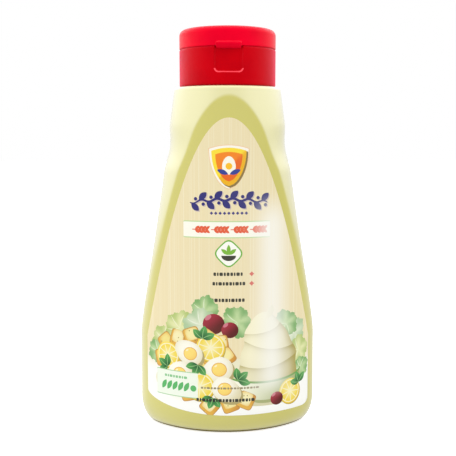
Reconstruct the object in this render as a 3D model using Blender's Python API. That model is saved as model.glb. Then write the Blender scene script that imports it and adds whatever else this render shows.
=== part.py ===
"""Squeeze bottle of mayonnaise with a flip-top cap, shut and full.

The bottle is a turned form, round under the cap and widest at the foot. A gently
curved panel is sliced off its front and its back, so that each panel ends in a tall
arch just under the cap. A label lies in a shallow pocket in each panel.

Metres, +Z up. The origin is the middle of the base, and the front faces -Y.
"""
import math

import bmesh
import bpy

MM = 0.001

# Gap between pieces that touch on the real object.
GAP = 0.3 * MM

# Bottle, the turned form: (height, radius) where its outline changes, and slopes there.
BODY_HEIGHT = 172.4 * MM
FOOT_RADIUS = 46.4 * MM
FOOT_CORNER_REACH = 6.8 * MM
FOOT_CORNER_HEIGHT = 13.7 * MM
STRAIGHT_TOP = 43.5 * MM
FLARE_BOTTOM = (57.0 * MM, 44.35 * MM)
FLARE_TOP = (130.8 * MM, 32.3 * MM)
SHOULDER = (168.8 * MM, 27.0 * MM)
SHOULDER_CORNER = 1.5 * MM
FLARE_BOTTOM_SLOPE = -0.19

# Bottle, the shallow dent at the waist of both sides.
DENT_HEIGHT = 142.7 * MM
DENT_HALF_HEIGHT = 12.0 * MM
DENT_DEPTH = 1.5 * MM

# Bottle, the panels sliced off the front and the back, and how softly they meet the rest.
# A panel lies deepest at its middle height and swells towards its top and its foot.
PANEL_DEPTH = 26.35 * MM
PANEL_MIDDLE = 110.0 * MM
PANEL_SWELL_TOP = 0.9 * MM
PANEL_SWELL_FOOT = 0.45 * MM
PANEL_RADIUS_TOP = 54.0 * MM
PANEL_RADIUS_FOOT = 61.0 * MM
APEX_SOFTNESS = 0.07 * MM
ARCH_SOFTNESS = 0.25 * MM
FOOT_SOFTNESS = 2.4 * MM

# Bottle, the hollow under the base inside its standing ring.
STAND_WIDTH = 4.0 * MM
PUNT_SLOPE = 7.0 * MM
PUNT_DEPTH = 2.2 * MM

# Labels: a small corner at the lower right, a long round sweep at the lower left,
# straight sides, then a parabola up to the apex.
LABEL_BOTTOM = 11.0 * MM
LABEL_STRAIGHT_TOP = 47.4 * MM
LABEL_TOP = 157.4 * MM
LABEL_HALF_WIDTH = 41.2 * MM
LABEL_CORNER = 3.5 * MM
LABEL_SWEEP_RISE = 8.5 * MM
LABEL_THICKNESS = 0.5 * MM
POCKET_REACH = 1.0 * MM

# Cap, the part screwed to the bottle.
CAP_RADIUS = 24.0 * MM
CAP_BOTTOM = BODY_HEIGHT + GAP
CAP_SEAM = 190.7 * MM
SEAM_GAP = 0.4 * MM
RIM_CORNER = 0.8 * MM
SEAM_CORNER = 0.4 * MM

# Cap, the thumb recess under the lid's lip: its outline at the back and its draft.
RECESS_HALF_WIDTH = 6.3 * MM
RECESS_BOTTOM = 179.3 * MM
RECESS_CORNER = 1.6 * MM
RECESS_DRAFT = 0.9 * MM
RECESS_DEPTH = 1.9 * MM

# Lid, with a small lip that hangs over the recess.
LID_TOP = 200.3 * MM
LID_SHOULDER = 2.8 * MM
LID_DOME = 0.6 * MM
LIP_HALF_WIDTH = 6.0 * MM
LIP_TOP = 193.1 * MM
LIP_EDGE = 192.2 * MM
LIP_BOTTOM = 190.0 * MM
LIP_REACH = 0.8 * MM
LIP_ROOT = 3.0 * MM

# Hinge strap across the seam at the back, in its flat pocket.
HINGE_HALF_WIDTH = 5.5 * MM
HINGE_HALF_HEIGHT = 3.2 * MM
HINGE_THICKNESS = 0.7 * MM
HINGE_FACE = 23.4 * MM

# How finely round forms are divided. Between the limits, in degrees, one point of every
# ring lies on the crease between the turned form and a panel.
SIDE_STEPS = 6
PANEL_STEPS = 11
CREASE_LIMITS = (8.0, 72.0)
STRAIGHT_LEVELS = 3
BEND_LEVELS = 3
FLARE_LEVELS = 10
NECK_LEVELS = 11
CAP_SIDES = 64
LABEL_COLUMNS = 24
LABEL_ROWS = 12
SEARCH_STEPS = 40


def clear_scene():
    for item in list(bpy.data.objects):
        bpy.data.objects.remove(item, do_unlink=True)


def plastic(name, colour, roughness):
    """Moulded or printed plastic of one colour."""
    material = bpy.data.materials.new(name)
    material.use_nodes = True
    shader = material.node_tree.nodes["Principled BSDF"]
    shader.inputs["Base Color"].default_value = (*colour, 1.0)
    shader.inputs["Roughness"].default_value = roughness
    shader.inputs["Metallic"].default_value = 0.0
    return material


def add_piece(name, mesh, material):
    """Object for one piece, shaded smooth with its real edges kept."""
    mesh.materials.append(material)
    mesh.shade_smooth()
    mesh.set_sharp_from_angle(angle=math.radians(30.0))
    piece = bpy.data.objects.new(name, mesh)
    bpy.context.scene.collection.objects.link(piece)
    return piece


def add_guide(name, mesh):
    """Object that only shapes another piece, and isn't one itself."""
    guide = bpy.data.objects.new(name, mesh)
    bpy.context.scene.collection.objects.link(guide)
    guide.hide_render = True
    guide.display_type = "WIRE"
    return guide


def combine(piece, guide, operation):
    """Boolean that stays on the piece as a modifier."""
    modifier = piece.modifiers.new(guide.name, "BOOLEAN")
    modifier.operation = operation
    modifier.solver = "EXACT"
    modifier.object = guide


def mesh_from(name, shape):
    """Mesh from a closed bmesh, with its faces turned outwards."""
    bmesh.ops.recalc_face_normals(shape, faces=shape.faces)
    mesh = bpy.data.meshes.new(name)
    shape.to_mesh(mesh)
    shape.free()
    return mesh


def join_loops(shape, loop, following):
    """Band of faces between two equal closed loops of vertices."""
    for i in range(len(loop)):
        after = (i + 1) % len(loop)
        shape.faces.new((loop[i], loop[after], following[after], following[i]))


def mesh_through_rings(name, rings):
    """Closed mesh through equal rings of points, flat at its first and last ring."""
    shape = bmesh.new()
    loops = [[shape.verts.new(point) for point in ring] for ring in rings]
    for loop, following in zip(loops, loops[1:]):
        join_loops(shape, loop, following)
    shape.faces.new(loops[0])
    shape.faces.new(loops[-1])
    return mesh_from(name, shape)


def turned_mesh(name, profile):
    """Solid turned about Z from (radius, height) points, from the lowest up."""
    turns = [2.0 * math.pi * i / CAP_SIDES for i in range(CAP_SIDES)]
    rings = [[(r * math.cos(t), r * math.sin(t), z) for t in turns] for r, z in profile]
    return mesh_through_rings(name, rings)


def arc(centre, size, start, end, steps):
    """(radius, height) points of a round corner, 0 degrees outwards and 90 up."""
    points = []
    for i in range(steps + 1):
        t = math.radians(start + (end - start) * i / steps)
        points.append((centre[0] + size * math.cos(t), centre[1] + size * math.sin(t)))
    return points


def spread(low, high, count):
    """Even values from low to high, without the high end."""
    return [low + (high - low) * i / count for i in range(count)]


def blend(low, high, slope_low, slope_high, height):
    """Radius on the smooth curve between two (height, radius) stations."""
    span = high[0] - low[0]
    t = (height - low[0]) / span
    return (
        low[1] * (1 + 2 * t) * (1 - t) ** 2
        + high[1] * t * t * (3 - 2 * t)
        + slope_low * span * t * (1 - t) ** 2
        - slope_high * span * t * t * (1 - t)
    )


def turned_radius(height):
    """Radius of the turned form, without its rounded foot and shoulder."""
    neck_slope = (SHOULDER[1] - FLARE_TOP[1]) / (SHOULDER[0] - FLARE_TOP[0])
    top = (BODY_HEIGHT, SHOULDER[1] + neck_slope * (BODY_HEIGHT - SHOULDER[0]))
    stations = (
        ((0.0, FOOT_RADIUS), 0.0),
        ((STRAIGHT_TOP, FOOT_RADIUS), 0.0),
        (FLARE_BOTTOM, FLARE_BOTTOM_SLOPE),
        (FLARE_TOP, neck_slope),
        (top, neck_slope),
    )
    for (low, slope_low), (high, slope_high) in zip(stations, stations[1:]):
        if height <= high[0]:
            break
    return blend(low, high, slope_low, slope_high, height)


def panel_curve(height):
    """Radius of a panel's curve, and how far beyond the middle plane its centre lies."""
    radius = PANEL_RADIUS_FOOT + (PANEL_RADIUS_TOP - PANEL_RADIUS_FOOT) * height / BODY_HEIGHT
    if height > PANEL_MIDDLE:
        share = (height - PANEL_MIDDLE) / (BODY_HEIGHT - PANEL_MIDDLE)
        swell = PANEL_SWELL_TOP * share * share
    else:
        share = 1.0 - height / PANEL_MIDDLE
        swell = PANEL_SWELL_FOOT * share * share
    return radius, radius - PANEL_DEPTH - swell


def dent(x, y, height):
    """How far the waist draws a side in, fading towards the panels."""
    rise = min(1.0, abs(height - DENT_HEIGHT) / DENT_HALF_HEIGHT)
    sideways = x * x / (x * x + y * y)
    return DENT_DEPTH * (1.0 - rise * rise) ** 2 * sideways ** 2


def softness(height):
    """How far the turned form and the panels melt into each other."""
    down = (FLARE_TOP[0] - height) / (FLARE_TOP[0] - STRAIGHT_TOP)
    up = (height - FLARE_TOP[0]) / (SHOULDER[0] - FLARE_TOP[0])
    return (
        ARCH_SOFTNESS
        + (FOOT_SOFTNESS - ARCH_SOFTNESS) * min(1.0, max(0.0, down)) ** 2
        + (APEX_SOFTNESS - ARCH_SOFTNESS) * min(1.0, max(0.0, up))
    )


def edge_inset(height):
    """How far the rounded foot and the rounded shoulder draw the section in."""
    foot = max(0.0, 1.0 - height / FOOT_CORNER_HEIGHT)
    shoulder = max(0.0, 1.0 - (BODY_HEIGHT - height) / SHOULDER_CORNER)
    return (
        FOOT_CORNER_REACH * (1.0 - math.sqrt(1.0 - foot * foot))
        + SHOULDER_CORNER * (1.0 - math.sqrt(1.0 - min(1.0, shoulder) ** 2))
    )


def outside(x, y, height):
    """Distance outside the bottle's section, its three surfaces softly joined."""
    radius, centre = panel_curve(height)
    surfaces = (
        math.hypot(x, y) - turned_radius(height) + dent(x, y, height),
        math.hypot(x, y - centre) - radius,
        math.hypot(x, y + centre) - radius,
    )
    soft = softness(height)
    furthest = max(surfaces)
    joined = sum(math.exp((surface - furthest) / soft) for surface in surfaces)
    return furthest + soft * math.log(joined) + edge_inset(height)


def search(is_inside, far):
    """Greatest distance from 0 to far that is still inside."""
    near = 0.0
    for _ in range(SEARCH_STEPS):
        middle = 0.5 * (near + far)
        if is_inside(middle):
            near = middle
        else:
            far = middle
    return near


def crease_angle(height):
    """Direction, seen from the axis, in which the turned form meets a panel."""
    radius, centre = panel_curve(height)
    turned = turned_radius(height)
    front = (radius ** 2 - centre ** 2 - turned ** 2) / (2.0 * centre)
    lowest, highest = (math.radians(limit) for limit in CREASE_LIMITS)
    return min(highest, max(lowest, math.asin(min(1.0, front / turned))))


def ring_angles(height):
    """Directions of one ring's points, with one point on each crease."""
    crease = crease_angle(height)
    quarter = spread(0.0, crease, SIDE_STEPS) + spread(crease, 0.5 * math.pi, PANEL_STEPS)
    half = quarter + [0.5 * math.pi] + [math.pi - angle for angle in reversed(quarter[1:])]
    return half + [math.pi + angle for angle in half]


def body_ring(height, inset=0.0):
    """One ring of points round the bottle."""
    ring = []
    for angle in ring_angles(height):
        across, along = math.cos(angle), math.sin(angle)
        reach = search(lambda r: outside(r * across, r * along, height) < -inset, FOOT_RADIUS)
        ring.append((reach * across, reach * along, height))
    return ring


def body_heights():
    """Levels of the bottle, closer together where its outline bends."""
    foot = [FOOT_CORNER_HEIGHT * (1.0 - math.cos(math.radians(a))) for a in (0, 22, 40, 56, 70)]
    shoulder = BODY_HEIGHT - SHOULDER_CORNER
    corner = [shoulder + SHOULDER_CORNER * math.sin(math.radians(a)) for a in (0, 30, 60, 90)]
    return (
        foot
        + spread(FOOT_CORNER_HEIGHT, STRAIGHT_TOP, STRAIGHT_LEVELS)
        + spread(STRAIGHT_TOP, FLARE_BOTTOM[0], BEND_LEVELS)
        + spread(FLARE_BOTTOM[0], FLARE_TOP[0], FLARE_LEVELS)
        + spread(FLARE_TOP[0], shoulder, NECK_LEVELS)
        + corner
    )


def punt_rings():
    """Rings of the hollow under the base, from its middle out to the standing ring."""
    rings = []
    for share in (0.0, 0.35, 0.7, 1.0):
        height = 0.5 * PUNT_DEPTH * (1.0 + math.cos(math.pi * share))
        flat = body_ring(0.0, STAND_WIDTH + PUNT_SLOPE * (1.0 - share))
        rings.append([(x, y, height) for x, y, _ in flat])
    return rings


def panel_point(x, height, depth):
    """Point of the front panel at (x, height), moved a depth into the bottle."""
    reach = search(lambda y: outside(x, -y, height) < -depth, 2.0 * PANEL_DEPTH)
    return (x, -reach, height)


def label_low(x):
    """Height of the label's lower edge, swept up at its left and cornered at its right."""
    if x < 0.0:
        rise, share = LABEL_SWEEP_RISE, x / LABEL_HALF_WIDTH
    else:
        rise, share = LABEL_CORNER, max(0.0, 1.0 - (LABEL_HALF_WIDTH - x) / LABEL_CORNER)
    return LABEL_BOTTOM + rise * (1.0 - math.sqrt(max(0.0, 1.0 - share * share)))


def label_high(x):
    """Height of the label's upper edge, a parabola between its straight sides."""
    share = x / LABEL_HALF_WIDTH
    return LABEL_TOP - (LABEL_TOP - LABEL_STRAIGHT_TOP) * share * share


def label_mesh(name, outer, inner, margin, turned):
    """Closed sheet in the label's outline between two depths below the panel."""
    way = -1.0 if turned else 1.0
    stretch = 1.0 + margin / LABEL_HALF_WIDTH
    shape = bmesh.new()

    def column(x, depth):
        low, high = label_low(x) - margin, label_high(x) + margin
        line = []
        for i in range(LABEL_ROWS + 1):
            height = low + (high - low) * i / LABEL_ROWS
            across, along, height = panel_point(x * stretch, height, depth)
            line.append(shape.verts.new((way * across, way * along, height)))
        return line

    def layer(depth):
        turns = [math.pi * (i / LABEL_COLUMNS - 0.5) for i in range(LABEL_COLUMNS + 1)]
        grid = [column(LABEL_HALF_WIDTH * math.sin(turn), depth) for turn in turns]
        for left, right in zip(grid, grid[1:]):
            for i in range(LABEL_ROWS):
                shape.faces.new((left[i], right[i], right[i + 1]))
                shape.faces.new((left[i], right[i + 1], left[i + 1]))
        bottom = [line[0] for line in grid]
        top = [line[-1] for line in reversed(grid)]
        return bottom + grid[-1][1:-1] + top + grid[0][-2:0:-1]

    join_loops(shape, layer(outer), layer(inner))
    return mesh_from(name, shape)


def make_bottle(material):
    """Bottle with a pocket for each label."""
    rings = punt_rings() + [body_ring(height) for height in body_heights()]
    bottle = add_piece("bottle_body", mesh_through_rings("bottle_body", rings), material)
    for side in ("front", "back"):
        name = "label_pocket_" + side
        depth = LABEL_THICKNESS + GAP
        pocket = label_mesh(name, -POCKET_REACH, depth, GAP, side == "back")
        combine(bottle, add_guide(name, pocket), "DIFFERENCE")


def make_label(side, material):
    name = "label_" + side
    add_piece(name, label_mesh(name, 0.0, LABEL_THICKNESS, 0.0, side == "back"), material)


def recess_outline(grow, y):
    """Rounded outline of the thumb recess at one depth, open past the cap's top."""
    half = RECESS_HALF_WIDTH + grow
    corner = (half - RECESS_CORNER, RECESS_BOTTOM - grow + RECESS_CORNER)
    right = arc(corner, RECESS_CORNER, -90.0, 0.0, 4) + [(half, CAP_SEAM + RECESS_CORNER)]
    left = [(-x, z) for x, z in reversed(right)]
    return [(x, y, z) for x, z in right + left]


def make_recess_guide():
    """Thumb recess, wider at the cap's surface than at its flat back."""
    back = recess_outline(0.0, RECESS_DEPTH - CAP_RADIUS)
    mouth = recess_outline(RECESS_DRAFT, -CAP_RADIUS)
    beyond = recess_outline(RECESS_DRAFT, -CAP_RADIUS - POCKET_REACH)
    return add_guide("thumb_recess", mesh_through_rings("thumb_recess", [back, mouth, beyond]))


def box_mesh(name, low, high):
    rings = []
    for z in (low[2], high[2]):
        corners = ((low[0], low[1]), (high[0], low[1]), (high[0], high[1]), (low[0], high[1]))
        rings.append([(x, y, z) for x, y in corners])
    return mesh_through_rings(name, rings)


def hinge_box(name, margin, face):
    """Block round the hinge strap, grown by a margin, out to a distance behind the axis."""
    half = HINGE_HALF_WIDTH + margin
    rise = HINGE_HALF_HEIGHT + margin
    inner = HINGE_FACE - HINGE_THICKNESS - margin
    return box_mesh(name, (-half, inner, CAP_SEAM - rise), (half, face, CAP_SEAM + rise))


def make_cap(material, hinge_pocket):
    """Screwed part of the cap, with the thumb recess in its front."""
    rim = (CAP_RADIUS - RIM_CORNER, CAP_BOTTOM + RIM_CORNER)
    seam = (CAP_RADIUS - SEAM_CORNER, CAP_SEAM - 0.5 * SEAM_GAP - SEAM_CORNER)
    profile = arc(rim, RIM_CORNER, -90.0, 0.0, 3) + arc(seam, SEAM_CORNER, 0.0, 90.0, 2)
    cap = add_piece("cap_skirt", turned_mesh("cap_skirt", profile), material)
    combine(cap, make_recess_guide(), "DIFFERENCE")
    combine(cap, hinge_pocket, "DIFFERENCE")


def lip_mesh():
    """Lip on the lid's front: a wedge with a sloping top and an undercut front."""
    front = -CAP_RADIUS - LIP_REACH
    root = LIP_ROOT - CAP_RADIUS
    under = -CAP_RADIUS + RECESS_DEPTH - 1.5 * GAP
    section = (
        (root, LIP_TOP),
        (-CAP_RADIUS, LIP_TOP),
        (front, LIP_EDGE),
        (under, LIP_BOTTOM),
        (under, CAP_SEAM + SEAM_GAP),
        (root, CAP_SEAM + SEAM_GAP),
    )
    rings = [[(x, y, z) for y, z in section] for x in (-LIP_HALF_WIDTH, LIP_HALF_WIDTH)]
    return mesh_through_rings("lid_lip", rings)


def make_lid(material, hinge_pocket):
    """Flip lid with a rounded, slightly domed top."""
    bottom = CAP_SEAM + 0.5 * SEAM_GAP
    flat = CAP_RADIUS - LID_SHOULDER
    tilt = math.degrees(math.atan(2.0 * LID_DOME / flat))
    profile = arc((CAP_RADIUS - SEAM_CORNER, bottom + SEAM_CORNER), SEAM_CORNER, -90.0, 0.0, 2)
    profile += arc((flat, LID_TOP - LID_SHOULDER), LID_SHOULDER, 0.0, 90.0 - tilt, 7)
    for share in (0.6, 0.25):
        profile.append((flat * share, LID_TOP + LID_DOME * (1.0 - share * share)))
    lid = add_piece("flip_lid", turned_mesh("flip_lid", profile), material)
    combine(lid, add_guide("lid_lip", lip_mesh()), "UNION")
    combine(lid, hinge_pocket, "DIFFERENCE")


def make_hinge(material):
    add_piece("lid_hinge", hinge_box("lid_hinge", 0.0, HINGE_FACE), material)


def main():
    clear_scene()
    bottle = plastic("bottle plastic", (0.61, 0.58, 0.16), 0.35)
    print_ground = plastic("label print", (0.89, 0.775, 0.515), 0.4)
    red = plastic("cap plastic", (0.6, 0.004, 0.008), 0.25)
    lid_red = plastic("lid plastic", (0.85, 0.005, 0.015), 0.25)

    make_bottle(bottle)
    make_label("front", print_ground)
    make_label("back", print_ground)
    hinge_pocket = add_guide("hinge_pocket", hinge_box("hinge_pocket", GAP, 2.0 * CAP_RADIUS))
    make_cap(red, hinge_pocket)
    make_lid(lid_red, hinge_pocket)
    make_hinge(lid_red)


main()
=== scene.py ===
"""Looks of a mayonnaise squeeze bottle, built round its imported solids.

Lengths are in millimetres until new_object turns them into metres. The bottle stands on
z = 0 and its front faces -Y. Print is laid out on the flat label, as (across, height).
"""
import math
import random

import bpy
import numpy as np
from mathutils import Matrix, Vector, geometry


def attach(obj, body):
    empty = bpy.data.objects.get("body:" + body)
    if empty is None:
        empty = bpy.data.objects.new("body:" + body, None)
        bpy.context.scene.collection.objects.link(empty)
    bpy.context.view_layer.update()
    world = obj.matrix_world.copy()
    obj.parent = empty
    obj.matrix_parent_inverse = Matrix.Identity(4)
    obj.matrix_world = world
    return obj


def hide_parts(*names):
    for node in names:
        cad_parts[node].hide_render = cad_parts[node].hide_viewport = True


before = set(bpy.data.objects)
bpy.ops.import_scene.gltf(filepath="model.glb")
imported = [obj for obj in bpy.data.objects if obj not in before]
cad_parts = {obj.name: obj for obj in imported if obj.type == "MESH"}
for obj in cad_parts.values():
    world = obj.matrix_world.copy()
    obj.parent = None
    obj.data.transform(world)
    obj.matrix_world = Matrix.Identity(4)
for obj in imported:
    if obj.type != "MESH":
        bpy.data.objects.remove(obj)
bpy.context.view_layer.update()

MM = 0.001
SHARP_FROM = 50.0

# Bottle, the turned form: (height, radius) where its outline changes, and slopes there.
BODY_HEIGHT = 172.4
FOOT_RADIUS = 46.4
FOOT_CORNER_REACH = 6.8
FOOT_CORNER_HEIGHT = 13.7
STRAIGHT_TOP = 43.5
FLARE_BOTTOM = (57.0, 44.35)
FLARE_TOP = (130.8, 32.3)
SHOULDER = (168.8, 27.0)
SHOULDER_CORNER = 1.5
FLARE_BOTTOM_SLOPE = -0.19

# Bottle, the shallow dent at the waist of both sides.
DENT_HEIGHT = 142.7
DENT_HALF_HEIGHT = 12.0
DENT_DEPTH = 1.5

# Bottle, its front and back panels, and how softly they meet the rest.
# A panel lies deepest at its middle height and swells towards its top and its foot.
PANEL_DEPTH = 26.35
PANEL_MIDDLE = 110.0
PANEL_SWELL_TOP = 0.9
PANEL_SWELL_FOOT = 0.45
PANEL_RADIUS_TOP = 54.0
PANEL_RADIUS_FOOT = 61.0
APEX_BOTTOM = 158.0
APEX_SOFTNESS = 0.07
ARCH_SOFTNESS = 0.25
FOOT_SOFTNESS = 2.4

# Bottle, its base and the thin line that the mould leaves down both sides.
STAND_WIDTH = 4.0
PUNT_SLOPE = 7.0
PUNT_DEPTH = 2.2
MOULD_LINE_WIDTH = 0.35
MOULD_LINE_HEIGHT = 0.1
MOULD_LINE_START = (2.0, 5.0)
MOULD_LINE_END = (168.0, 171.0)

# Bottle, how many points a quarter of a ring has beside the panel and on it, and the
# limits of the direction in which the two meet.
SIDE_POINTS = 34
PANEL_POINTS = 45
CREASE_LIMITS = (math.radians(8.0), math.radians(80.0))

# Label, a printed film on each panel: a small corner at the lower right, a long round
# sweep at the lower left, straight sides, then a parabola up to the apex.
LABEL_BOTTOM = 11.0
LABEL_STRAIGHT_TOP = 47.4
LABEL_TOP = 157.4
LABEL_HALF_WIDTH = 41.2
LABEL_CORNER = 3.5
LABEL_SWEEP_RISE = 8.5
LABEL_CURVE = 57.0
FILM_STEP = 1.3
OUTLINE_STEP = 1.4
FILM_CLEAR = 0.8
FILM_OUTSIDE = 0.08
FILM_INSIDE = 0.12

# Cap and its thumb recess.
CAP_RADIUS = 24.0
CAP_BOTTOM = BODY_HEIGHT + 0.3
CAP_SEAM = 190.7
SEAM_GAP = 0.4
RIM_CORNER = 0.8
SEAM_CORNER = 0.4
RECESS_HALF_WIDTH = 6.75
RECESS_BOTTOM = 178.85
RECESS_CORNER = 2.0
RECESS_DRAFT = 0.9
RECESS_DEPTH = 1.9
# Painted highlight along the recess's lower edge: how far up it reaches, and where across the
# recess.
HIGHLIGHT_RISE = 1.6
HIGHLIGHT_SHARES = (0.04, 0.96)
COLLAR_RADIUS = CAP_RADIUS - 0.45
CLOSING_RADIUS = 20.0

# Flat pocket of the hinge strap, across the seam at the back.
POCKET_HALF_WIDTH = 5.8
POCKET_FLOOR = 22.4
POCKET_BOTTOM = 187.2
POCKET_TOP = 194.2
POCKET_DRAFT = 0.2

# Lid and its lip.
LID_TOP = 200.3
LID_SHOULDER = 2.8
LID_DOME = 0.6
LIP_HALF_WIDTH = 6.0
LIP_SIDE_DRAFT = 0.15
LIP_BOTTOM = (189.6, -1.85)
LIP_EDGE = (192.2, 0.8)
LIP_TOP = 193.1
LIP_STRETCH = 2.2
UNDERSIDE_FRONT = 22.3
UNDERSIDE_RADIUS = 22.9

# Camera, fitted to the photograph's outlines.
CAMERA_PLACE = (-9.58, -382.88, 152.83)
CAMERA_WAY = (0.02541, 0.99071, -0.1332)
CAMERA_LENS = 59.2

# Share of a printed colour that the film gets, as the light brightens it.
INK_SHARE = (0.785, 0.785, 0.745)


def linear(code):
    """Linear red, green and blue of a six-figure colour code."""
    shares = (int(code[i:i + 2], 16) / 255.0 for i in (0, 2, 4))
    return tuple(c / 12.92 if c <= 0.04045 else ((c + 0.055) / 1.055) ** 2.4 for c in shares)


def ink(code):
    """Printed colour from the code it shows as."""
    return tuple(c * share for c, share in zip(linear(code), INK_SHARE))


# Bottle plastic: olive panels, sides painted paler between two heights (painted light, for the
# bright light on the turned form), and a brownish painted contact shadow that fades out just above
# the floor.
OLIVE = linear("B9B248")
SIDE_PAINTED_LIGHT = linear("C7C288")
PAINTED_LIGHT_BLEND = 0.1
PAINTED_LIGHT_RISE = (70.0, 128.0)
CONTACT_SHADOW_BROWN = linear("5E5422")
CONTACT_SHADOW_TOP = 2.1 * MM
CONTACT_SHADOW_FADE = (2.1 * MM, 3.2 * MM)

# Label ground, which turns white between two heights, and the painted glare, a pale band of
# highlight over the front one.
CREAM = ink("F0E1B9")
WHITE = ink("FFFFFF")
GROUND_TURN = (30.0, 42.0)
GLARE = 0.75
GLARE_MIDDLE = 22.0
GLARE_REACH = 8.0
GLARE_START = (18.0, 30.0)
GLARE_END = (105.0, 124.0)

# Drawings: points of an oval and of half a leaf, bars that stand for lines of text and how
# far out they reach, (level, slope, sag) of the cream's folds, and crumbs on each toast.
OVAL_POINTS = 36
LEAF_POINTS = 10
DASH_LENGTHS = (1.3, 0.8, 1.7, 1.0, 1.4)
DASH_GAP = 0.4
TEXT_SHARE = 0.72
FOLDS = ((0.0, 0.0, 0.09), (0.25, 0.05, 0.11), (0.51, -0.06, 0.09), (0.75, 0.07, 0.06))
SPECKS = 3
SPECK_SEED = 5

# Cap plastic: the skirt, the lid, the painted highlight along the recess's lower edge and the
# reddish sheen.
SKIRT_RED = linear("BA0406")
LID_RED = linear("E10325")
PAINTED_HIGHLIGHT_RED = linear("FF5560")
SHEEN_RED = (1.0, 0.01, 0.12)
CAP_ROUGHNESS = 0.35

# Light of the room, low and high: in front, then where it turns to the back, the sides
# and the ceiling.
ROOM_RISE = (0.03, 0.3)
ROOM_FRONT = (0.97, 1.28)
ROOM_SIDES = (
    ("Y", (-0.2, 0.6), (0.8, 1.8)),
    ("X", (-0.2, -0.9), (1.1, 2.1)),
    ("X", (0.2, 0.9), (0.7, 2.25)),
    ("Z", (0.7, 0.95), (2.5, 2.5)),
)
FULL_WHITE = (1.0, 1.0, 1.0, 1.0)
FLOOR_GLOW = 0.6
FLOOR_HALF_WIDTH = 3000.0


# Nodes and materials


class Nodes:
    """Node tree with a few helpers."""

    def __init__(self, tree):
        self.tree = tree

    def node(self, kind, inputs=None, **settings):
        """New node with its inputs and settings."""
        made = self.tree.nodes.new(kind)
        for key, value in settings.items():
            setattr(made, key, value)
        self.feed(made, inputs or {})
        return made

    def feed(self, node, inputs):
        """Links a node's inputs to sockets or sets them to values."""
        for name, value in inputs.items():
            if isinstance(value, bpy.types.NodeSocket):
                self.tree.links.new(value, node.inputs[name])
            else:
                node.inputs[name].default_value = value

    def between(self, value, low, high, at_low=0.0, at_high=1.0):
        """Maps a value smoothly from one range to another."""
        made = self.node(
            "ShaderNodeMapRange",
            {"Value": value, "From Min": low, "From Max": high,
             "To Min": at_low, "To Max": at_high},
            interpolation_type="SMOOTHSTEP",
        )
        return made.outputs["Result"]


class Material(Nodes):
    """Principled material with helpers for its patterns."""

    def __init__(self, name, colour, roughness, **inputs):
        self.material = bpy.data.materials.new(name)
        self.material.use_nodes = True
        super().__init__(self.material.node_tree)
        self.shader = self.tree.nodes["Principled BSDF"]
        self.set(Base_Color=(*colour, 1.0), Roughness=roughness, **inputs)
        self.place = self.node("ShaderNodeTexCoord").outputs["Object"]

    def set(self, **inputs):
        """Feeds the shader, with an underscore for each space in an input's name."""
        self.feed(self.shader, {name.replace("_", " "): inputs[name] for name in inputs})

    def noise(self, per_mm, detail=3.0, stretch=(1.0, 1.0, 1.0)):
        """Noise over the surface, at so many cells a millimetre, from 0 to 1."""
        scaled = self.node("ShaderNodeMapping", {"Vector": self.place, "Scale": stretch})
        made = self.node(
            "ShaderNodeTexNoise",
            {"Vector": scaled.outputs[0], "Scale": per_mm / MM, "Detail": detail},
        )
        return made.outputs["Fac"]

    def mix(self, share, first, second):
        """Mixes two colours."""
        made = self.node("ShaderNodeMix", data_type="RGBA")
        sockets = [s for s in made.inputs if s.enabled]
        for socket, value in zip(sockets, (share, first, second)):
            if isinstance(value, bpy.types.NodeSocket):
                self.tree.links.new(value, socket)
            elif isinstance(value, tuple):
                socket.default_value = (*value, 1.0)
            else:
                socket.default_value = value
        return [s for s in made.outputs if s.enabled][0]

    def math(self, operation, first, second):
        """Calculates with two values."""
        made = self.node("ShaderNodeMath", {0: first, 1: second}, operation=operation)
        return made.outputs[0]

    def bump(self, height_mm, *layers):
        """Bump from (height map, share) layers, so many millimetres deep."""
        total = self.math("MULTIPLY", layers[0][0], layers[0][1])
        for value, share in layers[1:]:
            total = self.math("ADD", total, self.math("MULTIPLY", value, share))
        made = self.node(
            "ShaderNodeBump", {"Height": total, "Strength": 1.0, "Distance": height_mm * MM}
        )
        self.set(Normal=made.outputs["Normal"])


def bottle_plastic():
    """Satin blown plastic, pale olive, with faint flow and scuffs, painted light on its paler
    sides and a painted contact shadow at its standing edge.
    """
    made = Material("bottle plastic", OLIVE, 0.3, IOR=1.55, Coat_Weight=1.0, Coat_IOR=1.7,
                    Coat_Roughness=0.18, Sheen_Weight=0.3, Sheen_Roughness=0.5)
    cloud = made.noise(0.02, 2.0)
    deeper = tuple(c * f for c, f in zip(OLIVE, (0.98, 0.975, 0.95)))
    panel = made.mix(made.between(cloud, 0.35, 0.65), OLIVE, deeper)
    # The side attribute is painted light: paler sides that stand in for the bright light on the
    # turned form.
    side = made.node("ShaderNodeAttribute", attribute_name="side").outputs["Fac"]
    with_painted_light = made.mix(side, panel, SIDE_PAINTED_LIGHT)
    # Painted contact shadow: brownish, fading out just above the standing edge.
    height = made.node("ShaderNodeSeparateXYZ", {0: made.place}).outputs["Z"]
    contact_shadowed = made.mix(0.35, with_painted_light, CONTACT_SHADOW_BROWN)
    made.set(Base_Color=made.mix(made.between(height, *CONTACT_SHADOW_FADE), contact_shadowed, with_painted_light))
    scuffs = made.noise(0.6, 4.0, (1.0, 1.0, 0.12))
    made.set(Roughness=made.between(scuffs, 0.3, 0.8, 0.28, 0.36))
    made.bump(0.06, (made.noise(0.03, 1.0), 1.0), (made.noise(2.5, 3.0), 0.02))
    return made.material


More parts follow.
